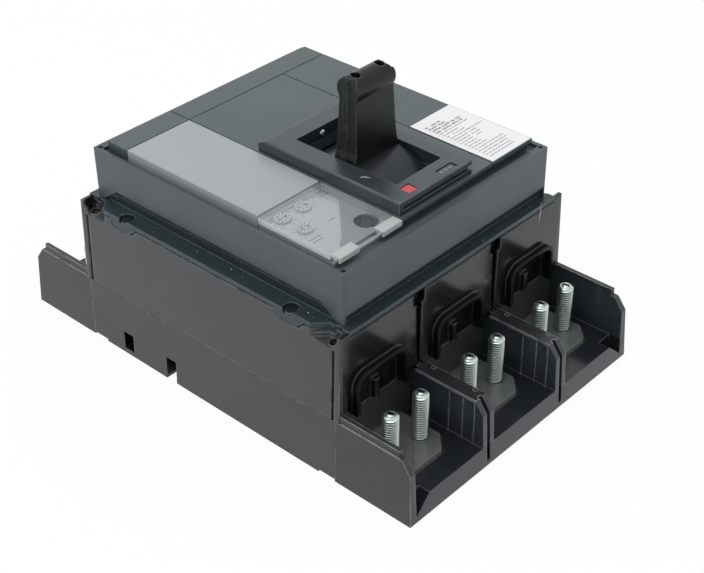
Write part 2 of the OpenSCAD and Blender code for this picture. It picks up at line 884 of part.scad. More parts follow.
// ---- terminal shields ----
shield_gap = 0.3;
wall_x = back_w / 2 - wall_t;
chamfer_y = 6;
chamfer_z = 8.3;
front_slope = 0.055;
rail_t = 3;
rail_h = 4.6;
rail_end = 10;
partition_w = 9.6;
partition_slot = 3;
partition_web = 3.5;
partition_round = 2.4;
slot_back = 9;
slot_floor = 3.4;
rib_t = 0.5;
rib_w = 0.9;
rib_in = [8.7, 17, 27];
gutter_drop = 11;
gutter_run = 12;
gutter_len = 9;

// the drafted front of a shield at height z
function front_at(z) = half_l - front_slope * z;

// side view of an outer wall of a shield
module wall_outline(top) {
    front = front_at(top - chamfer_z);
    polygon([[base_end, 0], [half_l, 0], [front, top - chamfer_z], [front - chamfer_y, top],
             [pole_end + shield_gap, top], [pole_end + shield_gap, base_h - shield_gap],
             [base_end, base_h - shield_gap]]);
}

// side view of a partition, its back corner rounded
module partition_outline() {
    back = pole_end + shield_gap;
    r = partition_round;
    difference() {
        wall_outline(partition_h);
        difference() {
            translate([back - eps, partition_h - r]) square([r, r + 1]);
            translate([back + r, partition_h - r]) circle(r);
        }
    }
}

// raised frame on the faces of a partition: upright ribs under a rib along the top
module partition_ribs() {
    front = front_at(partition_h) - chamfer_y;
    back = pole_end + partition_round;
    for (d = rib_in)
        translate([half_l - d - rib_w / 2, floor_h]) square([rib_w, partition_h - floor_h - 2 * rib_w]);
    translate([back, partition_h - 2 * rib_w]) square([front - back, rib_w]);
}

module shield() {
    difference() {
        intersection() {
            union() {
                upright(-back_w / 2, back_w)
                    polygon([[base_end, 0], [half_l, 0], [front_at(floor_h), floor_h], [base_end, floor_h]]);
                both_sides() upright(wall_x, wall_t) wall_outline(wall_h);
                both_sides() {
                    span([wall_x, pole_end + shield_gap, wall_h - 1],
                         [wall_x + rail_t, half_l - rail_end - rail_t / 2, wall_h + rail_h]);
                    translate([wall_x + rail_t / 2, half_l - rail_end - rail_t / 2, wall_h - 1])
                        cylinder(d = rail_t, h = rail_h + 1);
                }
                for (x = [-0.5, 0.5] * pole_pitch) {
                    upright(x - partition_w / 2, partition_w) partition_outline();
                    upright(x - partition_w / 2 - rib_t, partition_w + 2 * rib_t) partition_ribs();
                    // tab that hooks into the foot of the barrier slot
                    span([x - tab_w / 2, pole_end - tab_l, partition_h - tab_h],
                         [x + tab_w / 2, pole_end + partition_round + 1, partition_h]);
                }
            }
            drafted(0, shelf_h, overall_l);
        }
        // fine groove along the joint with the base
        difference() {
            span([-back_w, base_end - 1, -1], [back_w, base_end + joint_groove, base_h]);
            drafted(-2, shelf_h, overall_l, joint_groove);
        }
        // slot between the two walls of each partition
        for (x = [-0.5, 0.5] * pole_pitch) {
            span([x - partition_slot / 2, pole_end + slot_back, slot_floor],
                 [x + partition_slot / 2, half_l + 1, partition_h - partition_web]);
            span([x - partition_slot / 2, front_at(partition_h) - chamfer_y - 1, slot_floor],
                 [x + partition_slot / 2, half_l + 1, partition_h + 1]);
        }
        // pocket that a pad lies in
        poles() translate([0, 0, pad_z0]) linear_extrude(floor_h) pad_outline(base_end - 1, 1);
        // floor falls away beside the outer walls at the front
        both_sides() translate([wall_x, half_l + 1, floor_h]) rotate([90, 0, 0])
            linear_extrude(gutter_len + 1)
                polygon([[0, 1], [-gutter_run - 1, 1], [-gutter_run, 0], [0, -gutter_drop]]);
    }
}

module shield_line() { color(dark) shield(); }
module shield_load() { color(dark) mirror([0, 1, 0]) shield(); }

// ---- fixings ----
sleeve_rise = 0.4;
module mounting_sleeves() {
    color(zinc)
    corners() difference() {
        mount_hole(sleeve_d - fit, pocket_z - 2, pocket_z + sleeve_rise);
        mount_hole(mount_d, pocket_z - 3, pocket_z + sleeve_rise + 1);
    }
}

module cover_screws() {
    color(zinc)
    corners() translate([screw_x, screw_y, 0]) {
        translate([0, 0, recess_z]) cylinder(d = screw_head_d, h = screw_head_h);
        translate([0, 0, screw_tip]) cylinder(d = screw_d, h = screw_l + eps);
    }
}

base_housing();
pole_housing();
case_shelf();
front_cover();
shield_load();
shield_line();
terminal_load_left();
terminal_load_middle();
terminal_load_right();
terminal_line_left();
terminal_line_middle();
terminal_line_right();
studs_load_left();
studs_load_middle();
studs_load_right();
studs_line_left();
studs_line_middle();
studs_line_right();
mounting_sleeves();
cover_screws();
auxiliary_cover();
accessory_cover();
middle_panel();
right_panel();
trip_unit_cover();
trip_unit_face();
window_pane();
window_lugs();
dial_outer();
dial_inner();
dial_front();
toggle_escutcheon();
status_window();
trip_button();
toggle_drum();
toggle_handle();
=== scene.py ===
import math
import random

import bmesh
import bpy
from mathutils import Matrix, Vector


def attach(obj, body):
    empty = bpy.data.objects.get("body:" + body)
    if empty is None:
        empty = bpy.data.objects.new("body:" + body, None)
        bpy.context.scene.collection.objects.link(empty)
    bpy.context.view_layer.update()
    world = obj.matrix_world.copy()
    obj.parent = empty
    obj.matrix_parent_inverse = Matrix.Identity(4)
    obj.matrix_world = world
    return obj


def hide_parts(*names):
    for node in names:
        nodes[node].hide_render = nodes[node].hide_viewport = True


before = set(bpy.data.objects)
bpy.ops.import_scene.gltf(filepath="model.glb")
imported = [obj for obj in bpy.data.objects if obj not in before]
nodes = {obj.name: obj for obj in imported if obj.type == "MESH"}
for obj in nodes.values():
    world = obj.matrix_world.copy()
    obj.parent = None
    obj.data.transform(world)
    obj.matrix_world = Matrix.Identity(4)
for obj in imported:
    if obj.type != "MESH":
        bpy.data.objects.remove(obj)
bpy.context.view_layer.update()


# ---- base ----
# The back half of the case, a block of dark grey thermoset pressed in a steel mould. It is satin
# with a very fine grain, a little uneven in shade, and its outer edges are rubbed lighter where
# the case has stood and slid. The mounting screws go through its four corners.
def colour(hex_code):
    """linear colour of an sRGB hex value"""
    parts = [int(hex_code[i:i + 2], 16) / 255 for i in (1, 3, 5)]
    return [p / 12.92 if p <= 0.04045 else ((p + 0.055) / 1.055) ** 2.4 for p in parts] + [1.0]


def add_node(tree, kind, settings=None, **links):
    """a node with its settings, and links to its inputs by name or, as _0 and _1, by number"""
    node = tree.nodes.new(kind)
    for key, value in (settings or {}).items():
        if isinstance(key, int) or key in node.inputs.keys():
            node.inputs[key].default_value = value
        else:
            setattr(node, key, value)
    for key, socket in links.items():
        number = key[1:]
        tree.links.new(socket, node.inputs[int(number) if number.isdigit() else key])
    return node


def plain(name, hex_code, roughness, metallic=0.0):
    """a material with its Principled shader set, for patterns to be linked to"""
    material = bpy.data.materials.new(name)
    material.use_nodes = True
    skin = material.node_tree.nodes["Principled BSDF"]
    skin.inputs["Base Color"].default_value = colour(hex_code)
    skin.inputs["Roughness"].default_value = roughness
    skin.inputs["Metallic"].default_value = metallic
    return material


def moulded(name, hex_code, worn_hex, roughness, edge=0.5, wear=0.5, bare=0.4, grain=0.8,
            grain_depth=0.02, flow=0.25, specks=0.0, sheen=0.5, cast="#f1f3f6"):
    """moulded plastic with rubbed edges, flow marks, smears and a fine grain

    edge is the radius of the edges, grain the spacing of the grain and grain_depth its depth, in
    mm. wear is how far the edges turn to worn_hex, and a higher bare spares more of them. flow is
    the strength of the flow marks, specks the share of places that hold a speck of dust, and
    sheen and cast are the level and the tint of the reflections.
    """
    rub_length, flow_gap, dust_gap, smear_gap = 11.765, 58.82, 11.11, 25  # patterns, in mm
    slight_turn, full_turn = 0.985, 0.84  # cosines of 10 and 33 degrees
    rub_border = 0.25
    flow_shade = 0.72
    speck_radius = 0.045  # share of dust_gap, which makes it 0.5 mm

    material = plain(name, hex_code, roughness)
    tree = material.node_tree
    skin = tree.nodes["Principled BSDF"]
    skin.inputs["Specular IOR Level"].default_value = sheen
    skin.inputs["Specular Tint"].default_value = colour(cast)
    place = add_node(tree, "ShaderNodeTexCoord").outputs["Object"]

    # the mould's rounded edges, found by how far they turn the surface
    rounded = add_node(tree, "ShaderNodeBevel",
                       {"Radius": edge / 1000, "samples": 6}).outputs["Normal"]
    flat = add_node(tree, "ShaderNodeNewGeometry").outputs["True Normal"]
    turned = add_node(tree, "ShaderNodeVectorMath", {"operation": "DOT_PRODUCT"},
                      _0=rounded, _1=flat).outputs["Value"]
    edges = add_node(tree, "ShaderNodeMapRange",
                     {"From Min": slight_turn, "From Max": full_turn}, Value=turned).outputs[0]

    # hands and tools rub patches along those edges
    patches = add_node(tree, "ShaderNodeTexNoise",
                       {"Scale": 1000 / rub_length, "Detail": 5, "Roughness": 0.65},
                       Vector=place).outputs[0]
    rubbed = add_node(tree, "ShaderNodeMapRange",
                      {"From Min": bare, "From Max": bare + rub_border, "To Max": wear},
                      Value=patches).outputs[0]
    worn = add_node(tree, "ShaderNodeMath", {"operation": "MULTIPLY"},
                    _0=edges, _1=rubbed).outputs[0]

    # the plastic darkens slowly along its flow into the mould
    clouds = add_node(tree, "ShaderNodeTexNoise", {"Scale": 1000 / flow_gap, "Detail": 3},
                      Vector=place).outputs[0]
    clouding = add_node(tree, "ShaderNodeMapRange",
                        {"From Min": 0.35, "From Max": 0.65, "To Max": flow},
                        Value=clouds).outputs[0]
    base = colour(hex_code)
    darker = [c * flow_shade for c in base[:3]] + [1.0]
    shade = add_node(tree, "ShaderNodeMix", {"data_type": "RGBA", 6: base, 7: darker},
                     _0=clouding).outputs[2]

    if specks:
        # single pale specks of dust, each in a cell of its own
        cells = add_node(tree, "ShaderNodeTexVoronoi", {"Scale": 1000 / dust_gap},
                         Vector=place).outputs
        near = add_node(tree, "ShaderNodeMath", {"operation": "LESS_THAN", 1: speck_radius},
                        _0=cells["Distance"]).outputs[0]
        cell = add_node(tree, "ShaderNodeSeparateColor", Color=cells["Color"]).outputs[0]
        chosen = add_node(tree, "ShaderNodeMath", {"operation": "LESS_THAN", 1: specks},
                          _0=cell).outputs[0]
        dusty = add_node(tree, "ShaderNodeMath", {"operation": "MULTIPLY"},
                         _0=near, _1=chosen).outputs[0]
        shade = add_node(tree, "ShaderNodeMix", {"data_type": "RGBA", 7: colour("#b9bec0")},
                         _0=dusty, _6=shade).outputs[2]
    shade = add_node(tree, "ShaderNodeMix", {"data_type": "RGBA", 7: colour(worn_hex)},
                     _0=worn, _6=shade).outputs[2]
    tree.links.new(shade, skin.inputs["Base Color"])

    # smears from handling change the gloss a little to both sides
    smears = add_node(tree, "ShaderNodeTexNoise",
                      {"Scale": 1000 / smear_gap, "Detail": 4, "Distortion": 0.6},
                      Vector=place).outputs[0]
    gloss = add_node(tree, "ShaderNodeMapRange",
                     {"From Min": 0.3, "From Max": 0.7,
                      "To Min": roughness - 0.05, "To Max": roughness + 0.06},
                     Value=smears).outputs[0]
    tree.links.new(gloss, skin.inputs["Roughness"])

    # the fine grain of the mould's walls
    fine = add_node(tree, "ShaderNodeTexNoise", {"Scale": 1000 / grain, "Detail": 2},
                    Vector=place).outputs[0]
    bump = add_node(tree, "ShaderNodeBump", {"Strength": 0.5, "Distance": grain_depth / 1000},
                    Height=fine, Normal=rounded).outputs[0]
    tree.links.new(bump, skin.inputs["Normal"])
    return material


def dress(material, *names):
    """gives the named CAD nodes this material alone"""
    for name in names:
        nodes[name].data.materials.clear()
        nodes[name].data.materials.append(material)


def polish(material, low, high, hex_code, roughness, worn_share, sheen=0.5):
    """another colour, gloss, share of wear and sheen for the surface between two corners

    The corners are |x|, |y| and z in mm, and None leaves that side open.
    """
    tree = material.node_tree
    skin = tree.nodes["Principled BSDF"]
    spot = add_node(tree, "ShaderNodeSeparateXYZ",
                    Vector=add_node(tree, "ShaderNodeTexCoord").outputs["Object"]).outputs
    share = None
    for k in range(3):
        away = spot[k]
        if k < 2:
            away = add_node(tree, "ShaderNodeMath", {"operation": "ABSOLUTE"}, _0=away).outputs[0]
        for operation, limit in (("GREATER_THAN", low[k]), ("LESS_THAN", high[k])):
            if limit is None:
                continue
            side = add_node(tree, "ShaderNodeMath", {"operation": operation, 1: limit / 1000},
                            _0=away).outputs[0]
            if share:
                side = add_node(tree, "ShaderNodeMath", {"operation": "MULTIPLY"},
                                _0=share, _1=side).outputs[0]
            share = side

    # the colour goes under the worn edges, and the wear itself is scaled
    worn_mix = skin.inputs["Base Color"].links[0].from_node
    shade = worn_mix.inputs[6].links[0].from_socket
    shade = add_node(tree, "ShaderNodeMix", {"data_type": "RGBA", 7: colour(hex_code)},
                     _0=share, _6=shade).outputs[2]
    tree.links.new(shade, worn_mix.inputs[6])
    kept = add_node(tree, "ShaderNodeMapRange", {"To Min": 1.0, "To Max": worn_share},
                    Value=share).outputs[0]
    wear = add_node(tree, "ShaderNodeMath", {"operation": "MULTIPLY"},
                    _0=worn_mix.inputs[0].links[0].from_socket, _1=kept).outputs[0]
    tree.links.new(wear, worn_mix.inputs[0])

    gloss = skin.inputs["Roughness"].links[0].from_socket
    gloss = add_node(tree, "ShaderNodeMix", {3: roughness}, _0=share, _2=gloss).outputs[0]
    tree.links.new(gloss, skin.inputs["Roughness"])
    rest = skin.inputs["Specular IOR Level"].default_value
    if sheen != rest:
        level = add_node(tree, "ShaderNodeMapRange", {"To Min": rest, "To Max": sheen},
                         Value=share).outputs[0]
        tree.links.new(level, skin.inputs["Specular IOR Level"])


case_thermoset = moulded("pressed_thermoset", "#3b3c3f", "#97999a", roughness=0.36,
                         edge=0.9, wear=0.6, bare=0.36)
# painted shade darkens the inside of the slots in the sides, which hardly shine; in mm
slot_inside, slot_mouth = 80, 104.1
slot_bottom, slot_top = 2, 16.5
polish(case_thermoset, (slot_inside, None, slot_bottom), (slot_mouth, None, slot_top),
       "#0b0b0c", roughness=0.5, worn_share=0.2, sheen=0.1)
dress(case_thermoset, "base_housing")


# ---- pole housing ----
# The middle block round the three poles, pressed in the same thermoset and seated on the base. Its
# ends are the polished faces of the mould, glossy and a little wavy, the hoods on them are satin,
# both are darkened with painted shade, and its upright corners are rounded by about 2 mm.
end_thermoset = moulded("polished_thermoset", "#404144", "#a5a8aa", roughness=0.33,
                        edge=1.9, wear=0.5, bare=0.36, grain=14, grain_depth=0.012)
# how far out the ends, the hoods on them and the sides begin, in mm
ends_from, hoods_from, sides_from = 104, 109.4, 99.5
# painted shade darkens the glossy ends, and the satin hoods on them still more
polish(end_thermoset, (None, ends_from, None), (sides_from, hoods_from, None),
       "#131416", roughness=0.14, worn_share=0.15)
polish(end_thermoset, (None, hoods_from, None), (sides_from, None, None),
       "#0e0f11", roughness=0.3, worn_share=0.0, sheen=0.17)
dress(end_thermoset, "pole_housing")


def add_piece(name, shape, material, body="case"):
    """an object at the origin from a bmesh, riding on a body"""
    mesh = bpy.data.meshes.new(name)
    shape.to_mesh(mesh)
    shape.free()
    mesh.materials.append(material)
    piece = bpy.data.objects.new(name, mesh)
    bpy.context.scene.collection.objects.link(piece)
    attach(piece, body)
    return piece


def add_scratch(name, points, width, material):
    """a raised scratch along points, a quarter as wide at both ends; points and width in mm"""
    path = bpy.data.curves.new(name, "CURVE")
    path.dimensions = "3D"
    path.bevel_depth = width / 2000
    path.bevel_resolution = 1
    spline = path.splines.new("POLY")
    spline.points.add(len(points) - 1)
    for k, (x, y, z) in enumerate(points):
        spline.points[k].co = (x / 1000, y / 1000, z / 1000, 1)
        spline.points[k].radius = 0.25 + 0.75 * math.sin(math.pi * k / (len(points) - 1))
    holder = bpy.data.objects.new(name, path)
    bpy.context.scene.collection.objects.link(holder)
    held = holder.evaluated_get(bpy.context.evaluated_depsgraph_get())
    mesh = bpy.data.meshes.new_from_object(held)
    bpy.data.objects.remove(holder)
    shape = bmesh.new()
    shape.from_mesh(mesh)
    bpy.data.meshes.remove(mesh)
    add_piece(name, shape, material)


# a scuff runs up the end wall; torn plastic scatters the light and looks nearly white
scratch_white = plain("raised_scratch", "#d7dadb", roughness=0.5)
wall_y = -109.02
add_scratch("end_wall_scuff", ((79.1, wall_y, 103), (79.5, wall_y, 99), (79.2, wall_y, 96),
                               (78.6, wall_y, 92.5), (78.4, wall_y, 89.5)),
            0.55, scratch_white)
# chips along the joint with the base, on the trip unit's side; rubbed plastic is grey and shiny
rubbed_plastic = plain("rubbed_plastic", "#7d8081", roughness=0.35)
joint_x, joint_z, chip_rise, chip_width = -104.45, 43.25, 0.05, 0.3
chips = ((70, 64.5), (61, 59), (54, 46.5), (43, 41.5), (37, 34.2), (-56, -63), (-68, -70),
         (-76, -82))
for k, (y0, y1) in enumerate(chips):
    add_scratch("joint_chip_%d" % k,
                ((joint_x, y0, joint_z), (joint_x, (y0 + y1) / 2, joint_z + chip_rise),
                 (joint_x, y1, joint_z)), chip_width, rubbed_plastic)


# ---- mounting sleeves ----
# Four short steel bushes, turned and pressed into the corner pockets, where the mounting screws
# go through. Their bright zinc plating mirrors the room softly, with faint coloured clouds.
zinc_plating = plain("bright_zinc_plating", "#c9d6d4", roughness=0.27, metallic=1.0)
tree = zinc_plating.node_tree
skin = tree.nodes["Principled BSDF"]
place = add_node(tree, "ShaderNodeTexCoord").outputs["Object"]
# passivation leaves faint blue and yellow clouds
zinc_cloud_gap = 6.25  # mm
clouds = add_node(tree, "ShaderNodeTexNoise", {"Scale": 1000 / zinc_cloud_gap, "Detail": 3},
                  Vector=place).outputs[0]
tint = add_node(tree, "ShaderNodeMix",
                {"data_type": "RGBA", 6: colour("#bfd2d0"), 7: colour("#dce2db")},
                _0=clouds).outputs[2]
tree.links.new(tint, skin.inputs["Base Color"])
gloss = add_node(tree, "ShaderNodeMapRange", {"To Min": 0.24, "To Max": 0.4},
                 Value=clouds).outputs[0]
tree.links.new(gloss, skin.inputs["Roughness"])
dress(zinc_plating, "mounting_sleeves")


# ---- shelf and cover screws ----
# A smooth dark shelf closes the pole housing and carries the front cover on a low neck. It is
# glossy moulded plastic with a few specks of dust. Four zinc plated pan screws hold it down.
shelf_plastic = moulded("glossy_shelf_plastic", "#2e393d", "#8d9395", roughness=0.27,
                        edge=0.7, wear=0.7, bare=0.3, specks=0.2, cast="#d8e4ea")
dress(shelf_plastic, "case_shelf")
# the screws' plating has gone dull and dark
screw_steel = plain("zinc_plated_screw", "#565c5f", roughness=0.35, metallic=1.0)
dress(screw_steel, "cover_screws")


def add_block(shape, low, high, turn=0.0, centre=(0, 0)):
    """a box between two corners, then turned about Z round the centre"""
    block = bmesh.ops.create_cube(shape, size=1)["verts"]
    size = [b - a for a, b in zip(low, high)]
    middle = [(a + b) / 2 for a, b in zip(low, high)]
    bmesh.ops.scale(shape, verts=block, vec=size)
    bmesh.ops.translate(shape, verts=block, vec=middle)
    if turn:
        bmesh.ops.rotate(shape, verts=block, cent=(centre[0], centre[1], 0),
                         matrix=Matrix.Rotation(turn, 3, "Z"))


# the painted shadow of a cross recess in each screw's head, black
painted_hole_shadow = plain("hole_shadow", "#0c0c0d", roughness=0.7)
screw_x, screw_y, screw_top = 97.5 / 1000, 69 / 1000, 100 / 1000
cross_reach, cross_half, cross_h = 1.9 / 1000, 0.4 / 1000, 0.03 / 1000
cross_turn = 0.4
crosses = bmesh.new()
for x in (-screw_x, screw_x):
    for y in (-screw_y, screw_y):
        for turn in (cross_turn, cross_turn + math.pi / 2):
            add_block(crosses, (x - cross_reach, y - cross_half, screw_top),
                      (x + cross_reach, y + cross_half, screw_top + cross_h), turn, (x, y))
add_piece("screw_cross_shadows", crosses, painted_hole_shadow)

# pale matte specks of dust lie beside the cover, first on the trip unit's side and then at both
# ends; each range is a start and a reach, in mm
pale_dust = plain("pale_dust", "#c9cdce", roughness=0.8)
speck_count, side_specks = 26, 14
side_x, side_y = (-97.5, 4.5), (-85, 165)
end_x, end_y = (-85, 170), (105, 2.2)
dust_z = 101.02 / 1000
dust = bmesh.new()
dust_dice = random.Random(21)
for k in range(speck_count):
    wide = (0.25 + 0.6 * dust_dice.random() ** 2) / 1000
    if k < side_specks:
        x = side_x[0] + side_x[1] * dust_dice.random()
        y = side_y[0] + side_y[1] * dust_dice.random()
    else:
        x = end_x[0] + end_x[1] * dust_dice.random()
        y = dust_dice.choice((-1, 1)) * (end_y[0] + end_y[1] * dust_dice.random())
    speck = bmesh.ops.create_icosphere(dust, subdivisions=1, radius=wide / 2)["verts"]
    bmesh.ops.scale(dust, verts=speck, vec=(1, 1 + 0.6 * dust_dice.random(), 0.3))
    bmesh.ops.translate(dust, verts=speck, vec=(x / 1000, y / 1000, dust_z))
add_piece("dust_specks", dust, pale_dust)


# ---- terminals and studs ----
# Six flat copper pads, tin plated and dulled on top, with bright cut edges. Two M10 studs of zinc
# plated steel with a rolled thread stand on each pad, their ends chamfered. The thread is drawn at
# a pitch of 1.7 mm, a little coarser than the real 1.5 mm, with painted shade in its roots and
# under its flanks, so that it shows.
tin_plating = plain("dull_tin_plating", "#8a8d8b", roughness=0.14, metallic=0.6)
tree = tin_plating.node_tree
skin = tree.nodes["Principled BSDF"]
place = add_node(tree, "ShaderNodeTexCoord").outputs["Object"]
upward = add_node(tree, "ShaderNodeSeparateXYZ",
                  Vector=add_node(tree, "ShaderNodeNewGeometry").outputs["Normal"]).outputs["Z"]
# clouds of tarnish dull the flat top, and the cut edges stay bright
tarnish_gap = 8.333  # mm
tarnish = add_node(tree, "ShaderNodeTexNoise", {"Scale": 1000 / tarnish_gap, "Detail": 5},
                   Vector=place).outputs[0]
top_shade = add_node(tree, "ShaderNodeMix",
                     {"data_type": "RGBA", 6: colour("#7a8082"), 7: colour("#a1a49d")},
                     _0=tarnish).outputs[2]
shade = add_node(tree, "ShaderNodeMix", {"data_type": "RGBA", 6: colour("#d0d1ca")},
                 _0=upward, _7=top_shade).outputs[2]
tree.links.new(shade, skin.inputs["Base Color"])
gloss = add_node(tree, "ShaderNodeMapRange", {"To Min": 0.07, "To Max": 0.24},
                 Value=tarnish).outputs[0]
tree.links.new(gloss, skin.inputs["Roughness"])

stud_radius = 4.9 / 1000
thread_root = 4.0 / 1000
thread_pitch = 1.7 / 1000
# a turn's root, rising flank and crest: radius, and place as a share of the pitch
thread_profile = ((thread_root, 0), (thread_root, 0.24), (stud_radius, 0.5), (stud_radius, 0.74))
thread_steps = 24
neck_radius = 5.8 / 1000
neck_top = 17 / 1000
stud_foot = 9 / 1000
stud_top = 49 / 1000
stud_chamfer = 1.4 / 1000
stud_spacing = 26 / 1000
stud_y = 129.5 / 1000
pole_pitch = 70 / 1000
dimple_margin, dimple_slope, dimple_depth = 0.8 / 1000, 0.9 / 1000, 0.8 / 1000

# painted shade darkens the roots of the thread, up to a little above them
thread_shadow = plain("painted_thread_shade", "#3f4a47", roughness=0.5, metallic=1.0)
shade_reach = 0.3 / 1000
stud_core = 3 / 1000
rod = bmesh.new()
rung = stud_foot - thread_pitch
line = []
while rung < stud_top + thread_pitch:
    line += [rod.verts.new((radius, 0, rung + part * thread_pitch))
             for radius, part in thread_profile]
    rung += thread_pitch
ribs = [rod.edges.new(pair) for pair in zip(line, line[1:])]
bmesh.ops.spin(rod, geom=line + ribs, axis=(0, 0, 1), dvec=(0, 0, thread_pitch / thread_steps),
               angle=math.tau, steps=thread_steps, use_merge=False)
bmesh.ops.remove_doubles(rod, verts=rod.verts, dist=1e-6)
for level, side in ((stud_top, 1), (stud_foot, -1)):
    bmesh.ops.bisect_plane(rod, geom=rod.verts[:] + rod.edges[:] + rod.faces[:],
                           plane_co=(0, 0, level), plane_no=(0, 0, side), clear_outer=True)
bmesh.ops.bisect_plane(rod, geom=rod.verts[:] + rod.edges[:] + rod.faces[:],
                       plane_co=(0, 0, stud_top - stud_chamfer), plane_no=(0, 0, 1))
bmesh.ops.holes_fill(rod, edges=[e for e in rod.edges if e.is_boundary], sides=0)
for v in rod.verts:
    reach = math.hypot(v.co.x, v.co.y)
    limit = stud_radius - max(0.0, v.co.z - stud_top + stud_chamfer)
    if reach > limit:
        v.co.x *= limit / reach
        v.co.y *= limit / reach
# the centre left by the lathe, a shallow dimple in the end
end_faces = [f for f in rod.faces
             if len(f.verts) > 8 and f.calc_center_median().z > stud_top - 1e-5]
bmesh.ops.inset_region(rod, faces=end_faces, thickness=dimple_margin, depth=0)
bmesh.ops.inset_region(rod, faces=end_faces, thickness=dimple_slope, depth=-dimple_depth)
bmesh.ops.recalc_face_normals(rod, faces=rod.faces)
# painted shade on the thread's roots and the undersides of its flanks
for f in rod.faces:
    middle = f.calc_center_median()
    reach = math.hypot(middle.x, middle.y)
    in_root = reach < thread_root + shade_reach
    under_flank = f.normal.z < -0.2 and reach < stud_radius
    on_thread = reach > stud_core and middle.z < stud_top - stud_chamfer
    f.material_index = 1 if on_thread and (in_root or under_flank) else 0
neck = bmesh.ops.create_cone(rod, cap_ends=True, segments=48, radius1=neck_radius,
                             radius2=neck_radius, depth=neck_top - stud_foot)["verts"]
bmesh.ops.translate(rod, verts=neck, vec=(0, 0, (neck_top + stud_foot) / 2))
rod_mesh = bpy.data.meshes.new("rod")
rod.to_mesh(rod_mesh)
rod.free()

for end, side in (("load", -1), ("line", 1)):
    for pole, k in (("left", -1), ("middle", 0), ("right", 1)):
        dress(tin_plating, "terminal_%s_%s" % (end, pole))
        pair = bmesh.new()
        for x in (-stud_spacing / 2, stud_spacing / 2):
            old = len(pair.verts)
            pair.from_mesh(rod_mesh)
            bmesh.ops.translate(pair, verts=pair.verts[old:],
                                vec=(k * pole_pitch + x, side * stud_y, 0))
        studs = add_piece("threaded_studs_%s_%s" % (end, pole), pair, zinc_plating)
        studs.data.materials.append(thread_shadow)
        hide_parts("studs_%s_%s" % (end, pole))


# ---- terminal shields ----
# A shield slides on at each end, with a floor, outer walls and partitions between the poles. It
# is dark moulded plastic, glossy inside, and its thin top edges are rubbed bright.
shield_plastic = moulded("glossy_shield_plastic", "#303134", "#c4c7c8", roughness=0.3,
                         edge=0.8, wear=0.9, bare=0.28, grain=6, grain_depth=0.02)
# inside it is polished, painted shade darkens its floor, and it is rubbed only along the tops of
# its partitions; the reach across and the heights are in mm
inside_reach, tops_reach = 102, 99.5
floor_from, walls_from, tops_from, tops_to = 1.5, 14.6, 45.4, 46.6
polish(shield_plastic, (None, None, floor_from), (inside_reach, None, walls_from),
       "#1f2326", roughness=0.17, worn_share=0.35)
polish(shield_plastic, (None, None, walls_from), (inside_reach, None, tops_from),
       "#31373a", roughness=0.17, worn_share=0.35)
polish(shield_plastic, (None, None, tops_from), (tops_reach, None, tops_to),
       "#25282a", roughness=0.18, worn_share=1.0)
dress(shield_plastic, "shield_load", "shield_line")


def add_ring(shape, centre, radius, tube):
    """a ring lying flat, half sunk in the surface under it"""
    old = len(shape.verts)
    section = bmesh.ops.create_circle(shape, segments=8, radius=tube)["verts"]
    bmesh.ops.rotate(shape, verts=section, matrix=Matrix.Rotation(math.pi / 2, 3, "X"))
    bmesh.ops.translate(shape, verts=section, vec=(radius, 0, 0))
    hoop = section + [e for e in shape.edges if all(v in section for v in e.verts)]
    bmesh.ops.spin(shape, geom=hoop, axis=(0, 0, 1), angle=math.tau, steps=24, use_merge=True)
    bmesh.ops.translate(shape, verts=shape.verts[old:], vec=centre)


# marks of the mould's ejector pins on the partitions, and the painted shadow of a small blind hole
# in each
partition_top = 46 / 1000
web_offset = 3.1 / 1000
mark_places = (118.3 / 1000, 148.9 / 1000)
mark_radius, mark_tube = 1.4 / 1000, 0.18 / 1000
hole_y, hole_radius, hole_plug = 142.4 / 1000, 1.2 / 1000, 0.2 / 1000
for end, side in (("load", -1), ("line", 1)):
    rings = bmesh.new()
    holes = bmesh.new()
    for middle in (-0.5 * pole_pitch, 0.5 * pole_pitch):
        x = middle + web_offset
        for y in mark_places:
            add_ring(rings, (x, side * y, partition_top), mark_radius, mark_tube)
        hole = bmesh.ops.create_cone(holes, cap_ends=True, segments=20, radius1=hole_radius,
                                     radius2=hole_radius, depth=hole_plug)["verts"]
        bmesh.ops.translate(holes, verts=hole, vec=(x, side * hole_y, partition_top))
    bmesh.ops.recalc_face_normals(rings, faces=rings.faces)
    add_piece("ejector_marks_" + end, rings, rubbed_plastic)
    add_piece("blind_hole_shadows_" + end, holes, painted_hole_shadow)


# ---- front cover ----
# The charcoal cover over the mechanism, moulded in one piece of thermoplastic and set on the neck
# of the shelf. Its fine matte grain spreads the light, and its outer edges are a little rubbed.
cover_plastic = moulded("matte_cover_plastic", "#484e51", "#858b8e", roughness=0.38,
                        edge=0.6, wear=0.5, grain=0.6, sheen=0.62, cast="#e6eef0")
dress(cover_plastic, "front_cover")


# ---- front panels and label ----
# Four flat panels snapped on the cover, moulded in a fine satin, lighter and slightly bluer than
# it. A white paper label is stuck on the right one, printed with rows of letter-like blocks that
# spell nothing.
panel_plastic = moulded("satin_panel_plastic", "#485255", "#8f9599", roughness=0.34,
                        edge=0.5, wear=0.7, grain=0.6, sheen=0.6, cast="#dce8ea")
dress(panel_plastic, "auxiliary_cover", "accessory_cover", "middle_panel", "right_panel")

panel_h = 139.8 / 1000
label_x0, label_x1 = 47.9 / 1000, 85.1 / 1000
label_y0, label_y1 = -94.2 / 1000, -30.5 / 1000
label_t = 0.12 / 1000

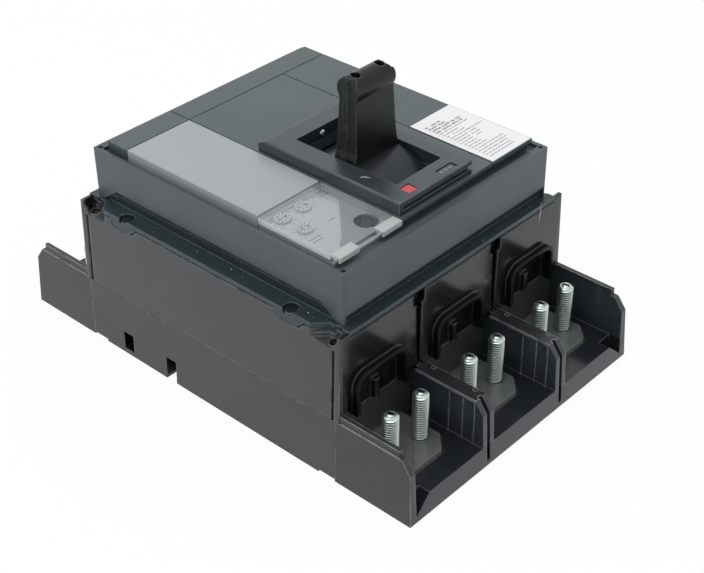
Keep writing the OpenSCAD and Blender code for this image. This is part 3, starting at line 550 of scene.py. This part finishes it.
# coated paper is white and half dull, and its fibres break the light up
paper = plain("coated_paper", "#ececee", roughness=0.4)
tree = paper.node_tree
fibre_gap, fibre_depth = 1.111, 0.02  # mm
fibres = add_node(tree, "ShaderNodeTexNoise", {"Scale": 1000 / fibre_gap, "Detail": 3},
                  Vector=add_node(tree, "ShaderNodeTexCoord").outputs["Object"]).outputs[0]
bump = add_node(tree, "ShaderNodeBump", {"Strength": 0.2, "Distance": fibre_depth / 1000},
                Height=fibres).outputs[0]
tree.links.new(bump, tree.nodes["Principled BSDF"].inputs["Normal"])
sheet = bmesh.new()
add_block(sheet, (label_x0, label_y0, panel_h), (label_x1, label_y1, panel_h + label_t))
add_piece("paper_label", sheet, paper)

# printing ink is matte, the headings darker than the fields; sizes are in mm
grey_ink = plain("grey_ink", "#4f5255", roughness=0.5)
black_ink = plain("black_ink", "#2c2d2f", roughness=0.5)
row_count, heading_rows, long_rows = 19, 4, 15
first_row, row_step, row_left = -39.5, 2.75, 52.0
heading_size, field_size = 1.8, 1.0
bar_share, side_share = 0.45, 0.4  # of a letter's width
short_share, rise_share, letter_gap, word_gap = 0.45, 0.35, 0.18, 0.55  # of its height
wide_gap, wide_gap_chance = 4, 0.15
ink_z = panel_h + label_t
ink_t = 0.02 / 1000
fields = bmesh.new()
headings = bmesh.new()
dice = random.Random(4)
for row in range(row_count):
    y = first_row - row_step * row
    tall = heading_size if row < heading_rows else field_size
    rows = headings if row < heading_rows else fields
    x = row_left
    stop = 61 + 21 * dice.random() if row < long_rows else 72 + 9 * dice.random()
    while x < stop:
        # a word of letter shapes, each an upright bar with a short one beside it
        for letter in range(dice.randint(2, 7)):
            wide = tall * (0.3 + 0.3 * dice.random())
            low = y - tall / 2 + rise_share * tall * dice.randint(0, 1)
            add_block(rows, (x / 1000, (y - tall / 2) / 1000, ink_z),
                      ((x + bar_share * wide) / 1000, (y + tall / 2) / 1000, ink_z + ink_t))
            add_block(rows, ((x + side_share * wide) / 1000, low / 1000, ink_z),
                      ((x + wide) / 1000, (low + short_share * tall) / 1000, ink_z + ink_t))
            x += wide + letter_gap * tall
        x += word_gap * tall
        if dice.random() < wide_gap_chance:
            x += wide_gap * dice.random()
add_piece("label_fields", fields, grey_ink)
add_piece("label_headings", headings, black_ink)


# ---- trip unit ----
# The silver grey trip unit cover and the face under the clear window, moulded and satin. The face
# carries three small dials with a scale printed round each, rows of marks and a round test port.
silver_plastic = moulded("satin_silver_plastic", "#9fa4a9", "#c9cdd0", roughness=0.36,
                         edge=0.4, wear=0.4, grain=0.5, flow=0.1)
dress(silver_plastic, "trip_unit_cover", "trip_unit_face")
# the dials are a little paler and duller than the face
dial_plastic = moulded("moulded_dial_plastic", "#aeb2b4", "#d5d7d8", roughness=0.4,
                       edge=0.25, wear=0.5, grain=0.5, flow=0.1)
# dark ink for the printed scales and marks, also used for painted shade in the flutes and round the
# face
print_and_shade_ink = plain("dark_print_and_painted_shade", "#3f4347", roughness=0.5)

face_z = 135.4 / 1000
dial_top = 136.9 / 1000
dial_places = {"dial_outer": (-74.3, -41.4), "dial_inner": (-57.8, -41.2),
               "dial_front": (-73.2, -57.7)}
dial_turn = 270
scale_marks = 9
tick_from, tick_to, tick_half = 6.1 / 1000, 7.3 / 1000, 0.2 / 1000
number_out, number_size = 8.7 / 1000, 2.1 / 1000
flute_count = 12
flute_from, flute_to, flute_half, flute_h = 1.9 / 1000, 4.8 / 1000, 0.3 / 1000, 0.03 / 1000


def add_number(text, size, x, y, z, shape):
    """adds a printed number to the mesh, its foot towards the front"""
    words = bpy.data.curves.new("number", "FONT")
    words.body = text
    words.size = size
    words.align_x = "CENTER"
    words.align_y = "CENTER"
    words.extrude = ink_t / 2
    holder = bpy.data.objects.new("number", words)
    bpy.context.scene.collection.objects.link(holder)
    held = holder.evaluated_get(bpy.context.evaluated_depsgraph_get())
    mesh = bpy.data.meshes.new_from_object(held)
    old = len(shape.verts)
    shape.from_mesh(mesh)
    bmesh.ops.translate(shape, verts=shape.verts[old:], vec=(x, y, z))
    bpy.data.objects.remove(holder)
    bpy.data.curves.remove(words)
    bpy.data.meshes.remove(mesh)


scales = bmesh.new()
for name, (dial_x, dial_y) in dial_places.items():
    dress(dial_plastic, name)
    x, y = dial_x / 1000, dial_y / 1000
    for k in range(scale_marks):
        turn = math.radians(-dial_turn / 2 + dial_turn * k / (scale_marks - 1))
        add_block(scales, (x - tick_half, y + tick_from, face_z),
                  (x + tick_half, y + tick_to, face_z + ink_t), turn, (x, y))
        if k % 2 == 0:
            add_number(str(k // 2 + 1), number_size, x - number_out * math.sin(turn),
                       y + number_out * math.cos(turn), face_z, scales)
    # painted shade of a star of moulded flutes round the screwdriver slot
    star = bmesh.new()
    for k in range(flute_count):
        turn = math.tau * (k + 0.5) / flute_count
        add_block(star, (x - flute_half, y + flute_from, dial_top),
                  (x + flute_half, y + flute_to, dial_top + flute_h), turn, (x, y))
    add_piece("flute_shades_" + name, star, print_and_shade_ink, name)

# a painted shadow line round the face, just inside the window's skirt, as a strip along each side;
# corners are in mm
shadow_line_sides = (((-84.7, -87.8), (-84.1, -35.9)), ((-84.7, -36.5), (-36, -35.9)),
                ((-36.6, -87.8), (-36, -35.9)), ((-84.7, -88.2), (-36, -87.8)))
for (x0, y0), (x1, y1) in shadow_line_sides:
    add_block(scales, (x0 / 1000, y0 / 1000, face_z), (x1 / 1000, y1 / 1000, face_z + ink_t))
# rows of small marks beside the scales: start, foot and number of marks, in mm
mark_rows = ((-81, -38.6, 5), (-47, -38.4, 6), (-44, -40.9, 4), (-80, -68, 5), (-80, -71, 4),
             (-58, -62, 3))
mark_h, mark_gap = 1, 0.5
mark_dice = random.Random(9)
for x, y, count in mark_rows:
    for k in range(count):
        wide = 0.8 + 1.1 * mark_dice.random()
        add_block(scales, (x / 1000, y / 1000, face_z),
                  ((x + wide) / 1000, (y + mark_h) / 1000, face_z + ink_t))
        x += wide + mark_gap
add_piece("trip_unit_print_and_shadow", scales, print_and_shade_ink)

# dark glossy insert in the test port, with contact pins at seven of eight places on a circle
port_x, port_y, port_floor = -44.0 / 1000, -77.0 / 1000, 132.4 / 1000
insert_foot, insert_top, insert_h = 7 / 1000, 6.6 / 1000, 1.2 / 1000
pin_circle, pin_foot, pin_top, pin_h = 4.5 / 1000, 0.4 / 1000, 0.3 / 1000, 1 / 1000
pin_places, pin_count = 8, 7
insert_plastic = plain("dark_insert_plastic", "#5c6064", roughness=0.3)
insert = bmesh.new()
disc = bmesh.ops.create_cone(insert, cap_ends=True, segments=48, radius1=insert_foot,
                             radius2=insert_top, depth=insert_h)["verts"]
bmesh.ops.translate(insert, verts=disc, vec=(port_x, port_y, port_floor + insert_h / 2))
for k in range(pin_count):
    turn = math.tau * k / pin_places
    pin = bmesh.ops.create_cone(insert, cap_ends=True, segments=12, radius1=pin_foot,
                                radius2=pin_top, depth=pin_h)["verts"]
    bmesh.ops.translate(insert, verts=pin,
                        vec=(port_x + pin_circle * math.cos(turn),
                             port_y + pin_circle * math.sin(turn),
                             port_floor + insert_h + pin_h / 2))
add_piece("test_port_insert", insert, insert_plastic)


# ---- window ----
# A clear cover over the trip unit's face, moulded in polycarbonate as a shallow tray and hinged on
# two lugs. Its polished faces mirror a little, more at a slant, its cut edges are half clear, and
# the lugs are frosted.
clear_plastic = plain("clear_polycarbonate", "#eef0f1", roughness=0.05)
tree = clear_plastic.node_tree
skin = tree.nodes["Principled BSDF"]
upward = add_node(tree, "ShaderNodeSeparateXYZ",
                  Vector=add_node(tree, "ShaderNodeTexCoord").outputs["Normal"]).outputs["Z"]
upward = add_node(tree, "ShaderNodeMath", {"operation": "ABSOLUTE"}, _0=upward).outputs[0]
tree.links.new(upward, skin.inputs["Metallic"])
# the faces cover what is behind them by 5 % seen straight on, and by 65 % along the sheet
slant = add_node(tree, "ShaderNodeLayerWeight", {"Blend": 0.5}).outputs["Facing"]
slant = add_node(tree, "ShaderNodeMath", {"operation": "POWER", 1: 3.0}, _0=slant).outputs[0]
mirror = add_node(tree, "ShaderNodeMapRange", {"To Min": 0.05, "To Max": 0.65},
                  Value=slant).outputs[0]
edge_cover = 0.5
cover = add_node(tree, "ShaderNodeMix", {2: edge_cover}, _0=upward, _3=mirror).outputs[0]
tree.links.new(cover, skin.inputs["Alpha"])
dress(clear_plastic, "window_pane")
frosted_plastic = moulded("frosted_polycarbonate", "#babebe", "#eceeee", roughness=0.35,
                          edge=0.5, wear=0.8, bare=0.33, flow=0.3)
dress(frosted_plastic, "window_lugs")


# ---- toggle escutcheon ----
# The raised frame round the toggle, moulded like the cover but smoother, so that it shines more.
# The glossy red trip button and a small smoked status window are set in its front bar.
escutcheon_plastic = moulded("satin_escutcheon_plastic", "#2b3134", "#9a9fa2", roughness=0.35,
                             edge=0.7, wear=0.8, bare=0.33, grain=0.6, grain_depth=0.008,
                             sheen=1.0, cast="#dde7ea")
# painted shade darkens its front face and the gap under the lip; in mm
front_face, lip_height = 92.3, 147.4
polish(escutcheon_plastic, (None, front_face, None), (None, None, lip_height),
       "#14181a", roughness=0.35, worn_share=1.0, sheen=0.45)
dress(escutcheon_plastic, "toggle_escutcheon")
status_plastic = plain("smoked_window_plastic", "#3a4041", roughness=0.15)
dress(status_plastic, "status_window")
red_plastic = moulded("glossy_red_plastic", "#c8474c", "#e39a9a", roughness=0.3,
                      edge=0.4, wear=0.3, flow=0.1)
dress(red_plastic, "trip_button")

# a pan head screw in the back wall of the toggle's window
pan_foot, pan_top, pan_h = 2.2 / 1000, 1.4 / 1000, 0.9 / 1000
pan_place = (2.3 / 1000, -0.55 / 1000, 143.3 / 1000)
pan = bmesh.new()
head = bmesh.ops.create_cone(pan, cap_ends=True, segments=32, radius1=pan_foot,
                             radius2=pan_top, depth=pan_h)["verts"]
bmesh.ops.rotate(pan, verts=head, matrix=Matrix.Rotation(math.pi / 2, 3, "X"))
bmesh.ops.translate(pan, verts=head, vec=pan_place)
add_piece("window_screw", pan, zinc_plating)

add_scratch("escutcheon_scratch", ((-28.1, -57.9, 148.3), (-26.8, -58.0, 148.4),
                                   (-25.2, -59.6, 148.4), (-24.1, -62.4, 148.4)),
            0.5, scratch_white)

# three grey bars moulded into the status window, a little paler than it
mark_grey = plain("status_mark_grey", "#6d7376", roughness=0.4)
bar_x, bar_step, bar_w = 7.2 / 1000, 3.7 / 1000, 2.5 / 1000
bar_y0, bar_y1 = -88.8 / 1000, -86.4 / 1000
bar_z, bar_h = 147.6 / 1000, 0.08 / 1000
bars = bmesh.new()
for k in range(3):
    x = bar_x + bar_step * k
    add_block(bars, (x, bar_y0, bar_z), (x + bar_w, bar_y1, bar_z + bar_h))
add_piece("status_marks", bars, mark_grey)


# ---- toggle ----
# The black handle and the drum it grows from, moulded in glass filled nylon: satin, with a soft
# sheen on the rounded head and rubbed edges.
handle_plastic = moulded("black_glass_filled_nylon", "#151617", "#77797b", roughness=0.32,
                         edge=0.9, wear=0.7, bare=0.36, grain=0.7, sheen=0.32)
dress(handle_plastic, "toggle_handle")
drum_plastic = moulded("satin_drum_plastic", "#181c1f", "#54585b", roughness=0.28,
                       edge=0.6, wear=0.4, sheen=0.55, cast="#dbe5ee")
dress(drum_plastic, "toggle_drum")


# ---- floor, light and camera ----
# A flat floor of matte white paper under the case, an even white room, and one large soft lamp
# above the case and to the left of the camera.
def straight_rays(tree):
    """1 for a ray from the camera, a mirror or clear plastic, and 0 for one that lights the case"""
    ray = add_node(tree, "ShaderNodeLightPath").outputs
    seen = add_node(tree, "ShaderNodeMath", {"operation": "MAXIMUM"},
                    _0=ray["Is Camera Ray"], _1=ray["Is Glossy Ray"]).outputs[0]
    return add_node(tree, "ShaderNodeMath", {"operation": "MAXIMUM"},
                    _0=seen, _1=ray["Is Transmission Ray"]).outputs[0]


floor_half = 6
floor_sheet = bmesh.new()
bmesh.ops.create_grid(floor_sheet, x_segments=1, y_segments=1, size=floor_half)
floor_mesh = bpy.data.meshes.new("floor")
floor_sheet.to_mesh(floor_mesh)
floor_sheet.free()
floor = bpy.data.objects.new("floor", floor_mesh)
bpy.context.scene.collection.objects.link(floor)
floor_paper = plain("floor_paper", "#f6f6f6", roughness=0.9)
# where it is seen it glows white, and the rest shows the case's shadow
seen_glow = 0.93
tree = floor_paper.node_tree
glow = add_node(tree, "ShaderNodeEmission",
                {"Color": colour("#ffffff"), "Strength": 1.0}).outputs[0]
share = add_node(tree, "ShaderNodeMath", {"operation": "MULTIPLY", 1: seen_glow},
                 _0=straight_rays(tree)).outputs[0]
mixed = add_node(tree, "ShaderNodeMixShader",
                 _0=share, _1=tree.nodes["Principled BSDF"].outputs[0], _2=glow).outputs[0]
tree.links.new(mixed, tree.nodes["Material Output"].inputs["Surface"])
floor_mesh.materials.append(floor_paper)

world = bpy.data.worlds.new("studio")
bpy.context.scene.world = world
world.use_nodes = True
tree = world.node_tree
height = add_node(tree, "ShaderNodeSeparateXYZ",
                  Vector=add_node(tree, "ShaderNodeTexCoord").outputs["Generated"]).outputs["Z"]
# the room lights from above more than from the sides, and is seen as plain white
side_light, top_light = 0.22, 1.0
lit = add_node(tree, "ShaderNodeMapRange", {"To Min": side_light, "To Max": top_light},
               Value=height).outputs[0]
level = add_node(tree, "ShaderNodeMix", {3: 1.0}, _0=straight_rays(tree), _2=lit).outputs[0]
tree.nodes["Background"].inputs["Color"].default_value = colour("#ffffff")
tree.links.new(level, tree.nodes["Background"].inputs["Strength"])

lamp_place = Vector((-0.5, 0.2, 1.6))
lamp_light = bpy.data.lights.new("key_lamp", "AREA")
lamp_light.size = 1.3
lamp_light.energy = 10
lamp = bpy.data.objects.new("key_lamp", lamp_light)
lamp_aim = (-lamp_place).to_track_quat("-Z", "Y").to_matrix().to_4x4()
lamp.matrix_world = Matrix.Translation(lamp_place) @ lamp_aim
bpy.context.scene.collection.objects.link(lamp)

# the camera looks down on the front left corner, a little rolled
azimuth, elevation, roll = math.radians(-47.36), math.radians(35.11), math.radians(-0.62)
rightward, upward_shift, distance = 0.01813, 0.02587, 0.96578
back = Vector((math.sin(azimuth) * math.cos(elevation),
               -math.cos(azimuth) * math.cos(elevation), math.sin(elevation)))
level_right = Vector((math.cos(azimuth), math.sin(azimuth), 0))
level_up = back.cross(level_right)
right = math.cos(roll) * level_right + math.sin(roll) * level_up
up = math.cos(roll) * level_up - math.sin(roll) * level_right
camera = bpy.data.objects.new("camera", bpy.data.cameras.new("camera"))
place = rightward * right + upward_shift * up + distance * back
camera.matrix_world = Matrix(((right.x, up.x, back.x, place.x), (right.y, up.y, back.y, place.y),
                              (right.z, up.z, back.z, place.z), (0, 0, 0, 1)))
camera.data.sensor_width = 36
camera.data.lens = 75.23
camera.data.clip_end = 20
bpy.context.scene.collection.objects.link(camera)
bpy.context.scene.camera = camera
bpy.context.scene.view_settings.view_transform = "Standard"
